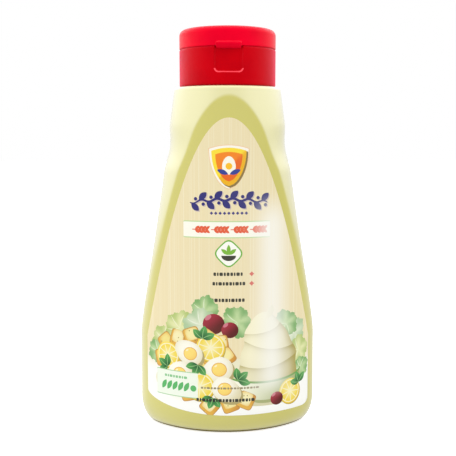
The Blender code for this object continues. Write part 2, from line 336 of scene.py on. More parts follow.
def painted_contact_shadow():
    """Painted contact shadow: a dull brownish line round the bottle's foot, where it stands on the
    floor.
    """
    made = Material("painted contact shadow", CONTACT_SHADOW_BROWN, 0.7, Specular_IOR_Level=0.1)
    paler = tuple(c * 1.4 for c in CONTACT_SHADOW_BROWN)
    made.set(Base_Color=made.mix(made.between(made.noise(0.5), 0.3, 0.7), CONTACT_SHADOW_BROWN, paler))
    made.bump(0.04, (made.noise(3.0, 3.0), 1.0))
    return made.material


def moulded_red(name, colour, tint, sheen):
    """Moulded cap plastic with a fine satin texture and a reddish gloss and sheen."""
    made = Material(name, colour, CAP_ROUGHNESS, Specular_IOR_Level=0.2,
                    Specular_Tint=(*tint, 1.0), Sheen_Weight=sheen, Sheen_Roughness=0.4,
                    Sheen_Tint=(*SHEEN_RED, 1.0))
    darker = tuple(c * 0.9 for c in colour)
    made.set(Base_Color=made.mix(made.between(made.noise(0.08), 0.35, 0.7), colour, darker))
    rub = made.noise(1.2, 4.0, (1.0, 1.0, 0.3))
    rough = (CAP_ROUGHNESS - 0.04, CAP_ROUGHNESS + 0.07)
    made.set(Roughness=made.between(rub, 0.3, 0.75, *rough))
    made.bump(0.05, (made.noise(0.3, 2.0), 1.0), (made.noise(6.0, 2.0), 0.12))
    return made.material


def printed_film():
    """Label film: the print's colours, with fine pale pinstripes where the print has them."""
    made = Material("label print", CREAM, 0.32, Specular_IOR_Level=0.23)
    colours = made.node("ShaderNodeAttribute", attribute_name="print")
    across = made.node("ShaderNodeSeparateXYZ", {0: made.place}).outputs["X"]
    fine = made.node(
        "ShaderNodeTexNoise", {"W": across, "Scale": 1.3 / MM, "Detail": 2.0},
        noise_dimensions="1D",
    )
    stripe = made.between(fine.outputs["Fac"], 0.5, 0.7)
    stripe = made.math("MULTIPLY", stripe, colours.outputs["Alpha"])
    pale = ink("FBF5E2")
    ground = made.mix(made.math("MULTIPLY", stripe, 0.4), colours.outputs["Color"], pale)
    cloud = made.between(made.noise(0.04), 0.3, 0.7, 0.0, 0.03)
    made.set(Base_Color=made.mix(cloud, ground, ink("E6E0D0")))
    made.set(Roughness=made.between(made.noise(0.5, 4.0), 0.3, 0.8, 0.28, 0.36))
    made.bump(0.03, (made.noise(0.12, 2.0), 1.0), (made.noise(4.0, 2.0), 0.05))
    return made.material


# Meshes


def new_object(name, points, faces, material):
    """Mesh object from points in millimetres."""
    mesh = bpy.data.meshes.new(name)
    mesh.from_pydata([tuple(float(c) * MM for c in point) for point in points], [], faces)
    mesh.validate()
    mesh.materials.append(material)
    made = bpy.data.objects.new(name, mesh)
    bpy.context.scene.collection.objects.link(made)
    return made


def new_piece(name, points, faces, material):
    """Smooth piece of the bottle from points in millimetres."""
    piece = new_object(name, points, faces, material)
    piece.data.shade_smooth()
    piece.data.set_sharp_from_angle(angle=math.radians(SHARP_FROM))
    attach(piece, "root")
    return piece


def lofted(rings):
    """Points and faces of a closed body through equal rings, from its first end outwards."""
    rings = np.asarray(rings)
    rows, sides = rings.shape[:2]
    points = [tuple(p) for p in rings.reshape(-1, 3)]
    faces = []
    for row in range(rows - 1):
        for i in range(sides):
            after = (i + 1) % sides
            low, high = row * sides, (row + 1) * sides
            faces.append((low + i, low + after, high + after, high + i))
    for row, turned in ((0, True), (rows - 1, False)):
        middle = len(points)
        points.append(tuple(rings[row].mean(axis=0)))
        for i in range(sides):
            edge = (row * sides + i, row * sides + (i + 1) % sides)
            faces.append((*(edge[::-1] if turned else edge), middle))
    return points, faces


def levels(*stretches):
    """Heights over stretches of (first, end, step)."""
    return np.concatenate([np.arange(*stretch) for stretch in stretches])


def smooth_step(value, low, high):
    t = np.clip((value - low) / (high - low), 0.0, 1.0)
    return t * t * (3.0 - 2.0 * t)


# The bottle's form


def blend(low, high, slope_low, slope_high, height):
    """Radius on the smooth curve between two (height, radius) stations."""
    span = high[0] - low[0]
    t = (height - low[0]) / span
    return (
        low[1] * (1 + 2 * t) * (1 - t) ** 2
        + high[1] * t * t * (3 - 2 * t)
        + slope_low * span * t * (1 - t) ** 2
        - slope_high * span * t * t * (1 - t)
    )


def turned_radius(height):
    """Radius of the turned form, without its rounded foot and shoulder."""
    neck_slope = (SHOULDER[1] - FLARE_TOP[1]) / (SHOULDER[0] - FLARE_TOP[0])
    top = (BODY_HEIGHT, SHOULDER[1] + neck_slope * (BODY_HEIGHT - SHOULDER[0]))
    stations = (
        ((0.0, FOOT_RADIUS), 0.0),
        ((STRAIGHT_TOP, FOOT_RADIUS), 0.0),
        (FLARE_BOTTOM, FLARE_BOTTOM_SLOPE),
        (FLARE_TOP, neck_slope),
        (top, neck_slope),
    )
    radius = np.zeros_like(height)
    for (low, slope_low), (high, slope_high) in zip(stations, stations[1:]):
        here = (height >= low[0]) & (height <= high[0])
        radius = np.where(here, blend(low, high, slope_low, slope_high, height), radius)
    return radius


def panel_curve(height):
    """Radius of a panel's curve, and how far beyond the middle plane its centre lies."""
    radius = PANEL_RADIUS_FOOT + (PANEL_RADIUS_TOP - PANEL_RADIUS_FOOT) * height / BODY_HEIGHT
    above = np.maximum(0.0, height - PANEL_MIDDLE) / (BODY_HEIGHT - PANEL_MIDDLE)
    below = np.maximum(0.0, PANEL_MIDDLE - height) / PANEL_MIDDLE
    swell = PANEL_SWELL_TOP * above ** 2 + PANEL_SWELL_FOOT * below ** 2
    return radius, radius - PANEL_DEPTH - swell


def dent(x, y, height):
    """How far the waist draws a side in, fading towards the panels."""
    rise = np.minimum(1.0, np.abs(height - DENT_HEIGHT) / DENT_HALF_HEIGHT)
    sideways = x * x / (x * x + y * y)
    return DENT_DEPTH * (1.0 - rise * rise) ** 2 * sideways ** 2


def softness(height):
    """How far the turned form and the panels melt into each other."""
    down = np.clip((FLARE_TOP[0] - height) / (FLARE_TOP[0] - STRAIGHT_TOP), 0.0, 1.0)
    up = np.clip((height - FLARE_TOP[0]) / (SHOULDER[0] - FLARE_TOP[0]), 0.0, 1.0)
    return (
        ARCH_SOFTNESS
        + (FOOT_SOFTNESS - ARCH_SOFTNESS) * down ** 2
        + (APEX_SOFTNESS - ARCH_SOFTNESS) * up
    )


def edge_inset(height):
    """How far the rounded foot and the rounded shoulder draw the section in."""
    foot = np.clip(1.0 - height / FOOT_CORNER_HEIGHT, 0.0, 1.0)
    shoulder = np.clip(1.0 - (BODY_HEIGHT - height) / SHOULDER_CORNER, 0.0, 1.0)
    return (
        FOOT_CORNER_REACH * (1.0 - np.sqrt(1.0 - foot ** 2))
        + SHOULDER_CORNER * (1.0 - np.sqrt(1.0 - shoulder ** 2))
    )


def outside(x, y, height):
    """Distance outside the bottle's section, its three surfaces softly joined."""
    radius, centre = panel_curve(height)
    surfaces = np.array((
        np.hypot(x, y) - turned_radius(height) + dent(x, y, height),
        np.hypot(x, y - centre) - radius,
        np.hypot(x, y + centre) - radius,
    ))
    soft = softness(height)
    furthest = surfaces.max(axis=0)
    joined = np.exp((surfaces - furthest) / soft).sum(axis=0)
    return furthest + soft * np.log(joined) + edge_inset(height)


def search(is_inside, shape, far):
    """Greatest distances from 0 to far that are still inside."""
    near = np.zeros(shape)
    far = np.full(shape, float(far))
    for _ in range(40):
        middle = 0.5 * (near + far)
        inside = is_inside(middle)
        near = np.where(inside, middle, near)
        far = np.where(inside, far, middle)
    return near


def crease_angle(height):
    """Direction, seen from the axis, in which the turned form meets a panel."""
    radius, centre = panel_curve(height)
    turned = turned_radius(height)
    front = (radius ** 2 - centre ** 2 - turned ** 2) / (2.0 * centre)
    return np.clip(np.arcsin(np.minimum(1.0, front / turned)), *CREASE_LIMITS)


def body_angles(height):
    """Directions of the points of one ring, close together at mould line and crease."""
    crease = crease_angle(height)[:, None]
    t = np.arange(SIDE_POINTS) / SIDE_POINTS
    side = crease * (t - 0.8 * np.sin(2.0 * np.pi * t) / (2.0 * np.pi))
    t = np.linspace(0.0, 1.0, PANEL_POINTS)
    panel = crease + (0.5 * np.pi - crease) * t ** 1.5
    quarter = np.concatenate((side, panel), axis=1)
    half = np.concatenate((quarter, np.pi - quarter[:, -2:0:-1]), axis=1)
    return np.concatenate((half, np.pi + half), axis=1)


def body_rings(height, inset=0.0):
    """Rings of points round the bottle, one for each height."""
    angle = body_angles(height)
    across, along = np.cos(angle), np.sin(angle)
    level = np.broadcast_to(height[:, None], angle.shape)
    reach = search(
        lambda r: outside(r * across, r * along, level) < -inset, angle.shape, FOOT_RADIUS + 1.0
    )
    from_line = reach * along / MOULD_LINE_WIDTH
    fade = smooth_step(level, *MOULD_LINE_START) * (1.0 - smooth_step(level, *MOULD_LINE_END))
    reach = reach + MOULD_LINE_HEIGHT * np.exp(-from_line ** 2) * fade
    return np.stack((reach * across, reach * along, level), axis=2)


def body_heights():
    """Levels of the bottle, closer together where its outline bends."""
    foot = FOOT_CORNER_HEIGHT * (1.0 - np.cos(np.radians(np.linspace(0.0, 86.0, 26))))
    shoulder = BODY_HEIGHT - SHOULDER_CORNER
    corner = shoulder + SHOULDER_CORNER * np.sin(np.radians(np.linspace(0.0, 90.0, 14)))
    return np.concatenate((
        foot,
        levels(
            (FOOT_CORNER_HEIGHT, STRAIGHT_TOP, 1.6),
            (STRAIGHT_TOP, FLARE_TOP[0], 1.2),
            (FLARE_TOP[0], APEX_BOTTOM, 0.8),
            (APEX_BOTTOM, shoulder - 0.1, 0.4),
        ),
        corner,
    ))


def base_rings():
    """Rings of the hollow under the base, from its middle out to the standing ring."""
    rings = []
    floor = np.array([0.0])
    for share in np.linspace(0.0, 1.0, 16):
        ring = body_rings(floor, STAND_WIDTH + PUNT_SLOPE * (1.0 - share))[0]
        ring[:, 2] = 0.5 * PUNT_DEPTH * (1.0 + math.cos(math.pi * share))
        rings.append(ring)
    for share in (0.35, 0.7):
        rings.append(body_rings(floor, STAND_WIDTH * (1.0 - share))[0])
    return rings


def painted_light_share(points):
    """How much painted light points get: those on the turned form rather than a panel, less near
    the foot.
    """
    x, y, z = points.T
    radius, centre = panel_curve(z)
    turned = np.hypot(x, y) - turned_radius(z) + dent(x, y, z)
    panel = np.maximum(np.hypot(x, y - centre), np.hypot(x, y + centre)) - radius
    soft = PAINTED_LIGHT_BLEND + softness(z)
    return smooth_step(turned - panel, -soft, soft) * smooth_step(z, *PAINTED_LIGHT_RISE)


def make_bottle(material, painted_light_material):
    rings = np.concatenate((base_rings(), body_rings(body_heights())))
    bottle = new_piece("bottle", *lofted(rings), material)
    bottle.data.materials.append(painted_light_material)
    # Faces just above the floor take the painted contact shadow.
    for face in bottle.data.polygons:
        face.material_index = int(face.center.z < CONTACT_SHADOW_TOP)
    # Painted light on the sides, kept in the side attribute.
    points = np.array([tuple(vertex.co) for vertex in bottle.data.vertices]) / MM
    colours = np.repeat(painted_light_share(points)[:, None], 4, axis=1)
    attribute = bottle.data.color_attributes.new("side", "FLOAT_COLOR", "POINT")
    attribute.data.foreach_set("color", colours.ravel())
    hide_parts("bottle_body")


# The label's form


def label_low(x):
    """Height of the label's lower edge, swept up at its left and cornered at its right."""
    rise = np.where(x < 0.0, LABEL_SWEEP_RISE, LABEL_CORNER)
    from_end = (LABEL_HALF_WIDTH - x) / LABEL_CORNER
    share = np.where(x < 0.0, x / LABEL_HALF_WIDTH, np.maximum(0.0, 1.0 - from_end))
    return LABEL_BOTTOM + rise * (1.0 - np.sqrt(np.maximum(0.0, 1.0 - share * share)))


def label_high(x):
    """Height of the label's upper edge, a parabola between its straight sides."""
    return LABEL_TOP - (LABEL_TOP - LABEL_STRAIGHT_TOP) * (x / LABEL_HALF_WIDTH) ** 2


def label_outline():
    """Outline of the flat label, anticlockwise from the middle of its lower edge."""
    half = LABEL_HALF_WIDTH
    turns = np.radians(np.arange(0.0, 90.0, 10.0))
    right = np.concatenate((
        np.linspace(0.0, half - LABEL_CORNER, 20, endpoint=False),
        half - LABEL_CORNER + LABEL_CORNER * np.sin(turns),
    ))
    side = np.linspace(LABEL_BOTTOM + LABEL_CORNER, LABEL_STRAIGHT_TOP, 16, endpoint=False)
    arch = half * np.sin(np.radians(np.linspace(90.0, -90.0, 121)))
    left_side = np.linspace(LABEL_STRAIGHT_TOP, LABEL_BOTTOM + LABEL_SWEEP_RISE, 14)[1:]
    sweep = -half * np.sin(np.radians(np.arange(87.0, 0.0, -3.0)))
    across = np.concatenate((
        right, np.full_like(side, half), arch, np.full_like(left_side, -half), sweep,
    ))
    height = np.concatenate((
        label_low(right), side, label_high(arch), left_side, label_low(sweep),
    ))
    return list(zip(LABEL_CURVE * np.arcsin(across / LABEL_CURVE), height))


def on_panel(flat, depth):
    """Points of the flat label, laid on the front panel at a depth under its surface."""
    s, z = flat[:, 0], flat[:, 1]
    x = LABEL_CURVE * np.sin(s / LABEL_CURVE)
    reach = search(lambda y: outside(x, -y, z) < -depth, x.shape, 40.0)
    return np.stack((x, -reach, z), axis=1)


def inner_points():
    """Points strewn over the flat label in staggered rows, clear of its outline."""
    reach = LABEL_CURVE * math.asin(LABEL_HALF_WIDTH / LABEL_CURVE)
    points = []
    for row, z in enumerate(np.arange(LABEL_BOTTOM, LABEL_TOP, FILM_STEP)):
        across = np.arange(-reach, reach, FILM_STEP) + (0.5 * FILM_STEP if row % 2 else 0.0)
        x = LABEL_CURVE * np.sin(across / LABEL_CURVE)
        arch = min(1.0, (LABEL_TOP - z) / (LABEL_TOP - LABEL_STRAIGHT_TOP))
        half = LABEL_HALF_WIDTH * math.sqrt(arch) - FILM_CLEAR
        inside = (np.abs(x) < half) & (label_low(x) < z - FILM_CLEAR)
        points += [(s, z) for s in across[inside]]
    return points


def anticlockwise(outline):
    """Outline the right way round, with points along its longer edges."""
    outline = np.asarray(outline, dtype=float)
    after = np.roll(outline, -1, axis=0)
    area = np.sum(outline[:, 0] * after[:, 1] - outline[:, 1] * after[:, 0])
    if area < 0.0:
        outline = outline[::-1]
        after = np.roll(outline, -1, axis=0)
    points = []
    for point, following in zip(outline, after):
        parts = max(1, math.ceil(math.dist(point, following) / OUTLINE_STEP))
        points += [point + (following - point) * i / parts for i in range(parts)]
    return points


def print_fields(shapes):
    """Points of the flat label and its triangles, each with its topmost field of print."""
    outlines = [label_outline()] + [anticlockwise(outline) for outline, _ in shapes]
    coords, faces = [], []
    for outline in outlines:
        faces.append(list(range(len(coords), len(coords) + len(outline))))
        coords += [Vector(point) for point in outline]
    coords += [Vector(point) for point in inner_points()]
    made = geometry.delaunay_2d_cdt(coords, [], faces, 1, 1e-5, True)
    triangles = [(f, max(where)) for f, where in zip(made[2], made[5]) if 0 in where]
    used = sorted({i for f, _ in triangles for i in f})
    number = {old: new for new, old in enumerate(used)}
    flat = np.array([tuple(made[0][i]) for i in used])
    return flat, [(tuple(number[i] for i in f), top) for f, top in triangles]


def film_body(flat, faces, turned):
    """Points and faces of the film: its printed side first, then its underside and its rim."""
    points = np.concatenate((on_panel(flat, -FILM_OUTSIDE), on_panel(flat, FILM_INSIDE)))
    if turned:
        points = points * (-1.0, -1.0, 1.0)
    count = len(flat)
    edges = {(a, b) for f in faces for a, b in zip(f, f[1:] + f[:1])}
    rim = [(a, b) for a, b in sorted(edges) if (b, a) not in edges]
    under = [tuple(i + count for i in reversed(f)) for f in faces]
    sides = [(b, a, a + count, b + count) for a, b in rim]
    return points, faces + under + sides


def make_label(name, shapes, turned, glare, material):
    """Film with its print as fields of colour, one corner colour for each face corner."""
    flat, triangles = print_fields(shapes)
    body = film_body(flat, [f for f, _ in triangles], turned)
    film = new_piece(name, *body, material)
    paints = [plain(fill) if isinstance(fill, str) else fill for _, fill in shapes]
    paints.insert(0, ground_paint)
    colours = np.tile((*CREAM, 0.0), (len(film.data.loops), 1))
    for polygon in film.data.polygons[:len(triangles)]:
        top = triangles[polygon.index][1]
        for corner, index in enumerate(polygon.vertices):
            s, z = flat[index]
            stripe = ground_stripe(z) if top == 0 else 0.0
            colour = glared(paints[top](s, z), s, z, glare)
            colours[polygon.loop_start + corner] = (*colour, stripe)
    attribute = film.data.color_attributes.new("print", "FLOAT_COLOR", "CORNER")
    attribute.data.foreach_set("color", colours.ravel())
    return film


def ground_paint(s, z):
    """The label's ground: cream, and white at the foot."""
    white = 1.0 - smooth_step(z, *GROUND_TURN)
    return np.array(CREAM) + white * (np.array(WHITE) - np.array(CREAM))


def ground_stripe(z):
    """How strongly the ground's pinstripes show at a height."""
    return float(smooth_step(z, *GROUND_TURN))


def glared(colour, s, z, glare):
    """Colour under the painted glare, a pale band of highlight that runs down the front label's
    right half.
    """
    rise = smooth_step(z, *GLARE_START) * (1.0 - smooth_step(z, *GLARE_END))
    share = glare * rise * math.exp(-((s - GLARE_MIDDLE) / GLARE_REACH) ** 2)
    return colour + share * (np.array(WHITE) - colour)


# Drawing on the flat label: outlines, each filled with a colour code or with a paint


def plain(code):
    """Paint of one colour."""
    colour = np.array(ink(code))
    return lambda s, z: colour


def mixed(first, second, share):
    """Paint between two colours, by a share that depends on the place."""
    low, high = np.array(ink(first)), np.array(ink(second))
    return lambda s, z: low + smooth_step(share(s, z), 0.0, 1.0) * (high - low)


def graded(first, second, start, stop):
    """Paint that turns from one colour to another between two points."""
    way = np.subtract(stop, start) / math.dist(start, stop) ** 2
    return mixed(first, second, lambda s, z: np.dot((s - start[0], z - start[1]), way))


def placed(outline, centre, turn=0.0, size=1.0):
    """Outline scaled, turned by so many degrees and moved to its centre."""
    a = math.radians(turn)
    spin = np.array(((math.cos(a), math.sin(a)), (-math.sin(a), math.cos(a))))
    return size * (np.asarray(outline) @ spin) + centre


def rounded(width, height, power=1.0):
    """Oval, squarer for a smaller power."""
    a = np.linspace(0.0, 2.0 * np.pi, OVAL_POINTS, endpoint=False)
    c, s = np.cos(a), np.sin(a)
    return 0.5 * np.stack((
        width * np.sign(c) * np.abs(c) ** power, height * np.sign(s) * np.abs(s) ** power,
    ), axis=1)


def oval(centre, width, height, fill, turn=0.0):
    """Field in the shape of an oval."""
    return placed(rounded(width, height), centre, turn), fill


def patch(left, right, low, high, code):
    """Square-cornered field of one colour."""
    middle = (0.5 * (left + right), 0.5 * (low + high))
    return placed(rounded(right - left, high - low, 0.05), middle), code


def diamond(width, height):
    return 0.5 * np.array(((width, 0.0), (0.0, height), (-width, 0.0), (0.0, -height)))


def leaf(length, width):
    """Pointed leaf that starts at the origin and points to the right."""
    t = np.arange(LEAF_POINTS) / LEAF_POINTS
    along = np.concatenate((t, 1.0 - t))
    half = 0.5 * width * np.sin(np.pi * along) ** 0.8
    half[:LEAF_POINTS] *= -1.0
    return np.stack((length * along, half), axis=1)


def bow(start, stop, rise, count=14):
    """Path from one point to another, bowed to its left."""
    t = np.linspace(0.0, 1.0, count)[:, None]
    way = np.subtract(stop, start)
    left = np.array((-way[1], way[0])) / np.hypot(*way)
    return start + way * t + left * rise * 4.0 * t * (1.0 - t)


def strip(path, width, taper=0.0):
    """Band along a path, narrower towards its ends by the taper."""
    path = np.asarray(path)
    way = np.gradient(path, axis=0)
    side = np.stack((-way[:, 1], way[:, 0]), axis=1) / np.hypot(way[:, 0], way[:, 1])[:, None]
    t = np.linspace(-1.0, 1.0, len(path))[:, None]
    side = side * 0.5 * width * (1.0 - taper * t * t)
    return np.concatenate((path - side, (path + side)[::-1]))


def ribs(centre, turns, length, width, code):
    """Thin ribs that run out from a point."""
    rib = strip(bow((0.0, 0.0), (length, 0.0), 0.06 * length, 8), width, 0.7)
    return [(placed(rib, centre, turn), code) for turn in turns]


def salad(centre, radius, codes, turn=0.0):
    """Curly salad leaf, pale at its middle, with a frilled edge and faint ribs."""
    a = np.linspace(0.0, 2.0 * np.pi, 84, endpoint=False)
    frill = 1.0 + 0.07 * np.sin(5.0 * a + turn) + 0.05 * np.sin(13.0 * a) + 0.03 * np.sin(29.0 * a)
    outline = np.stack((np.cos(a), 0.86 * np.sin(a)), axis=1) * (radius * frill)[:, None]

    def share(s, z):
        across, up = s - centre[0], z - centre[1]
        fold = 0.25 * math.sin(5.0 * math.atan2(up, across) + 0.4 * radius)
        return math.hypot(across, up) / radius + fold - 0.1

    shapes = [(placed(outline, centre, turn), mixed(codes[0], codes[1], share))]
    turns = (turn + 20.0, turn + 80.0, turn + 140.0)
    return shapes + ribs(centre, turns, 0.8 * radius, 0.5, codes[2])


def basil(centre, turn, length):
    """Sprig of three pointed leaves with pale ribs."""
    shapes = []
    for spread in (-58.0, 58.0, 0.0):
        tip = placed([(length, 0.0)], centre, turn + spread)[0]
        blade = placed(leaf(length, 0.58 * length), centre, turn + spread)
        shapes.append((blade, graded("1F5F33", "5AAA58", centre, tip)))
    turns = (turn - 58.0, turn + 58.0, turn)
    return shapes + ribs(centre, turns, 0.85 * length, 0.4, "8CC07C")


def cube(centre, turn, size, face_codes):
    """Toasted cube of bread: a pale face that browns at its edges, over a darker side."""
    middle = np.asarray(centre, dtype=float)
    face = middle + (0.0, 0.12 * size)
    corner = placed([(0.5 * size, -0.5 * size)], middle, turn)[0]

    def browned(s, z):
        return 2.6 * math.dist((s, z), face) / size - 0.6

    side = graded("E6B24C", "CF8E36", middle, corner)
    return [
        (placed(rounded(size + 0.7, size + 0.7, 0.35), middle, turn), "C0904A"),
        (placed(rounded(size, size, 0.35), middle, turn), side),
        (placed(rounded(0.84 * size, 0.74 * size, 0.35), face, turn), mixed(*face_codes, browned)),
    ]


def egg_half(centre, turn, length):
    """Half of a boiled egg, cut side up."""
    outline = rounded(length, 0.76 * length)
    outline[:, 1] *= 1.0 - 0.3 * outline[:, 0] / length
    yolk = placed([(-0.08 * length, 0.0)], centre, turn)[0]
    light = yolk + (-0.1 * length, 0.11 * length)
    low = np.add(centre, (0.05 * length, -0.08 * length))

    def shaded(s, z):
        return 1.7 * math.dist((s, z), light) / length - 0.25

    return [
        (placed(outline, low, turn, 1.03), graded("CFC397", "B3A56E", centre, low)),
        (placed(outline, centre, turn), mixed("FFFDF2", "E2D7B0", shaded)),
        oval(yolk, 0.46 * length, 0.43 * length, "E3A440"),
        oval(yolk, 0.42 * length, 0.39 * length, mixed("FFE07A", "E89A2C", shaded)),
        oval(light, 0.1 * length, 0.05 * length, "FFF6CF", 40.0),
    ]


def lemon_slice(centre, turn, radius):
    """Round slice of lemon with its segments."""
    low = np.add(centre, (0.04 * radius, -0.07 * radius))
    shapes = [
        oval(low, 2.0 * radius, 2.0 * radius, "B9A048"),
        oval(centre, 2.0 * radius, 2.0 * radius, graded("FBE25C", "EEC93C", centre, low)),
        oval(centre, 1.8 * radius, 1.8 * radius, "FCF4CC"),
    ]
    a = np.radians(np.linspace(-18.0, 18.0, 6))
    wedge = radius * np.concatenate(
        ([(0.12, 0.0)], np.stack((0.82 * np.cos(a), 0.82 * np.sin(a)), axis=1)))
    for spoke in range(9):
        spin = turn + 40.0 * spoke
        rim = placed([(0.8 * radius, 0.0)], centre, spin)[0]
        shapes.append((placed(wedge, centre, spin), graded("FDF3AE", "F5DA52", centre, rim)))
    return shapes


def fold_height(fold, u):
    """Height of a fold of the dollop at a place across it, from -1 to 1."""
    level, slope, sag = fold
    return level + slope * u - sag * (1.0 - u * u)


class Dollop:
    """Mound of cream in soft tiers, its heights v as shares of its own height."""

    def __init__(self, centre, width, height):
        self.s, self.z = centre
        self.width = width
        self.height = height

    def half(self, v):
        """Half the width at a height."""
        swell = 1.0 + 0.32 * v + 0.045 * np.cos(18.0 * v)
        return 0.5 * self.width * (1.0 - v) ** 0.55 * swell

    def middle(self, v):
        """Middle of the mound at a height, as it leans a little."""
        return self.s + 0.05 * self.width * np.sin(5.0 * v)

    def tier(self, fold):
        """Outline of all of the mound above a fold."""
        u = np.linspace(-1.0, 1.0, 25)
        low = fold_height(fold, u)
        right = 1.0 - (1.0 - low[-1]) * np.linspace(1.0, 0.0, 20) ** 1.6
        left = 1.0 - (1.0 - low[0]) * np.linspace(0.0, 1.0, 20) ** 1.6
        v = np.concatenate((low[1:-1], right, left[1:]))
        u = np.concatenate((u[1:-1], np.ones(20), -np.ones(19)))
        return np.stack((self.middle(v) + u * self.half(v), self.z + self.height * v), axis=1)

    def shaded(self, above):
        """Paint of a tier, lit from the upper left and dark under the fold above."""
        def share(s, z):
            v = min(0.95, (z - self.z) / self.height)
            u = (s - self.middle(max(v, 0.0))) / self.half(max(v, 0.0))
            shade = 0.12 + 0.26 * u + 0.3 * (1.0 - v) ** 2 + 0.8 * max(0.0, abs(u) - 0.7)
            under = fold_height(above, u) - v if above else 1.0
            return shade + 0.45 * math.exp(-max(0.0, under) / 0.06)
        return mixed("FBF5D4", "AA9C4A", share)


def dollop(centre, width, height):
    """Dollop of cream with its shadow and a drawn-out tip."""
    s, z = centre
    mound = Dollop(centre, width, height)
    shadow = graded("BFB478", "EFEAD2", (s, z), (s, z - 5.0))
    shapes = [oval((s + 0.8, z - 1.2), 1.08 * width, 8.0, shadow)]
    for fold, above in zip(FOLDS, (*FOLDS[1:], None)):
        shapes.append((mound.tier(fold), mound.shaded(above)))
    tip = strip(bow((s - 2.2, z + 0.9 * height), (s + 2.6, z + 1.1 * height), -1.2), 3.6, 0.92)
    side = graded("FBF5D4", "DDD290", (s - 2.0, z + height), (s + 3.0, z + height))
    return shapes + [(tip, side)]


def tomato(centre, radius):
    """Small dark red tomato with a lit edge."""
    s, z = centre
    light = (s - 0.5 * radius, z + 0.6 * radius)
    dark = (s + 0.4 * radius, z - 0.5 * radius)
    return [
        oval(centre, 2.0 * radius, 1.9 * radius, graded("A3263A", "5B0406", light, dark)),
        oval(light, 0.7 * radius, 0.4 * radius, "D2798A", 40.0),
    ]


def bowl_front(centre, width, depth):
    """Near side of a shallow bowl, below its curved rim."""
    s, z = centre
    a = np.linspace(0.0, math.pi, 31)
    rim = np.stack((s - 0.5 * width * np.cos(a), z - 0.12 * width * np.sin(a)), axis=1)
    body = np.stack((s + 0.5 * width * np.cos(a), z - depth * np.sin(a) ** 0.8), axis=1)
    lit, dark = (s - 0.4 * width, z), (s + 0.45 * width, z - 0.9 * depth)
    return [
        oval((s + 1.0, z - depth - 0.6), 0.86 * width, 0.12 * width, "D9D4B0"),
        oval((s, z - depth), 0.36 * width, 0.08 * width, "A9B07C"),
        (np.concatenate((rim, body)), graded("FCFCEA", "A5B074", lit, dark)),
        (strip(rim, 1.1, 0.4), "74A350"),
    ]


def greens():
    """Salad leaves behind the food."""
    pale = ("E9EBB4", "B5C97A", "F1F2CF")
    fresh = ("C3DBA4", "7FB06C", "DDEBC8")
    misty = ("DFE8CF", "B0CCA2", "EDF3E2")
    shapes = []
    for centre, radius, codes, turn in (
        ((-33.0, 47.0), 9.0, pale, 10.0), ((-12.0, 64.0), 7.5, fresh, 70.0),
        ((-25.0, 54.5), 9.0, pale, 50.0), ((-14.0, 57.0), 9.0, misty, 20.0),
        ((4.0, 58.5), 8.0, fresh, 120.0), ((35.0, 50.5), 8.0, misty, 60.0),
        ((30.0, 56.0), 7.5, fresh, 150.0), ((-38.0, 41.0), 7.0, fresh, 30.0),
        ((38.5, 41.0), 7.5, pale, 90.0), ((40.0, 31.5), 6.0, fresh, 40.0),
    ):
        shapes += salad(centre, radius, codes, turn)
    return shapes


def toast():
    """Heap of toasted cubes with a few dark crumbs on each."""
    tones = (("F8EDAC", "EDBE55"), ("F4E38C", "E6AE44"), ("F9F0BE", "EFC96C"))
    draw = random.Random(SPECK_SEED)
    shapes = []
    for i, (centre, turn) in enumerate((
        ((-35.5, 38.0), 12.0), ((-33.0, 46.5), 40.0), ((-26.0, 49.0), 75.0), ((-18.5, 51.0), 20.0),
        ((-10.5, 50.0), 55.0), ((-4.5, 47.5), 10.0), ((-31.0, 31.5), 60.0), ((-24.5, 40.5), 25.0),
        ((-13.5, 41.5), 70.0), ((-1.5, 41.0), 35.0), ((-20.5, 22.0), 15.0), ((-9.5, 15.8), 50.0),
        ((0.5, 17.0), 20.0), ((-15.0, 34.5), 45.0), ((8.5, 18.5), 65.0),
    )):
        shapes += cube(centre, turn, 8.0, tones[i % 3])
        for _ in range(SPECKS):
            place = np.add(centre, (draw.uniform(-3.0, 3.0), draw.uniform(-3.0, 3.0)))
            shapes.append((placed(diamond(0.7, 0.7), place), "9A8436"))
    return shapes


def meal():
    """Bowl of cream with eggs, lemon, toasted cubes and salad on a white ground."""
    ground = graded("EFEBCF", "FFFFFF", (0.0, 28.0), (0.0, 15.0))
    shapes = [oval((0.0, 27.0), 80.0, 26.0, ground)]
    shapes += greens()
    shapes += tomato((-7.5, 57.5), 5.4)
    shapes += tomato((0.5, 54.5), 4.2)
    shapes += dollop((19.5, 30.0), 34.0, 33.0)
    shapes += bowl_front((19.5, 32.0), 40.0, 14.0)
    shapes += toast()
    for make, centre, turn, size in (
        (lemon_slice, (-32.0, 40.0), 10.0, 6.6), (lemon_slice, (-9.0, 45.5), 25.0, 7.2),
        (egg_half, (-20.5, 42.5), 150.0, 15.5), (egg_half, (-24.0, 31.5), 20.0, 16.0),
        (egg_half, (-6.0, 34.0), 205.0, 16.5), (lemon_slice, (-14.5, 25.5), 5.0, 7.4),
        (egg_half, (-1.0, 24.0), 330.0, 15.5), (lemon_slice, (33.0, 20.5), 15.0, 6.6),
    ):
        shapes += make(centre, turn, size)
    shapes += tomato((25.0, 18.0), 3.6)
    for centre, turn, length in (
        ((-13.0, 50.0), 80.0, 6.5), ((-32.0, 34.0), 150.0, 6.5), ((-15.5, 36.5), 250.0, 6.5),
        ((4.5, 29.0), 40.0, 6.5), ((-8.0, 20.0), 250.0, 6.0), ((39.0, 24.0), 110.0, 6.0),
    ):
        shapes += basil(centre, turn, length)
    return shapes


# The front print


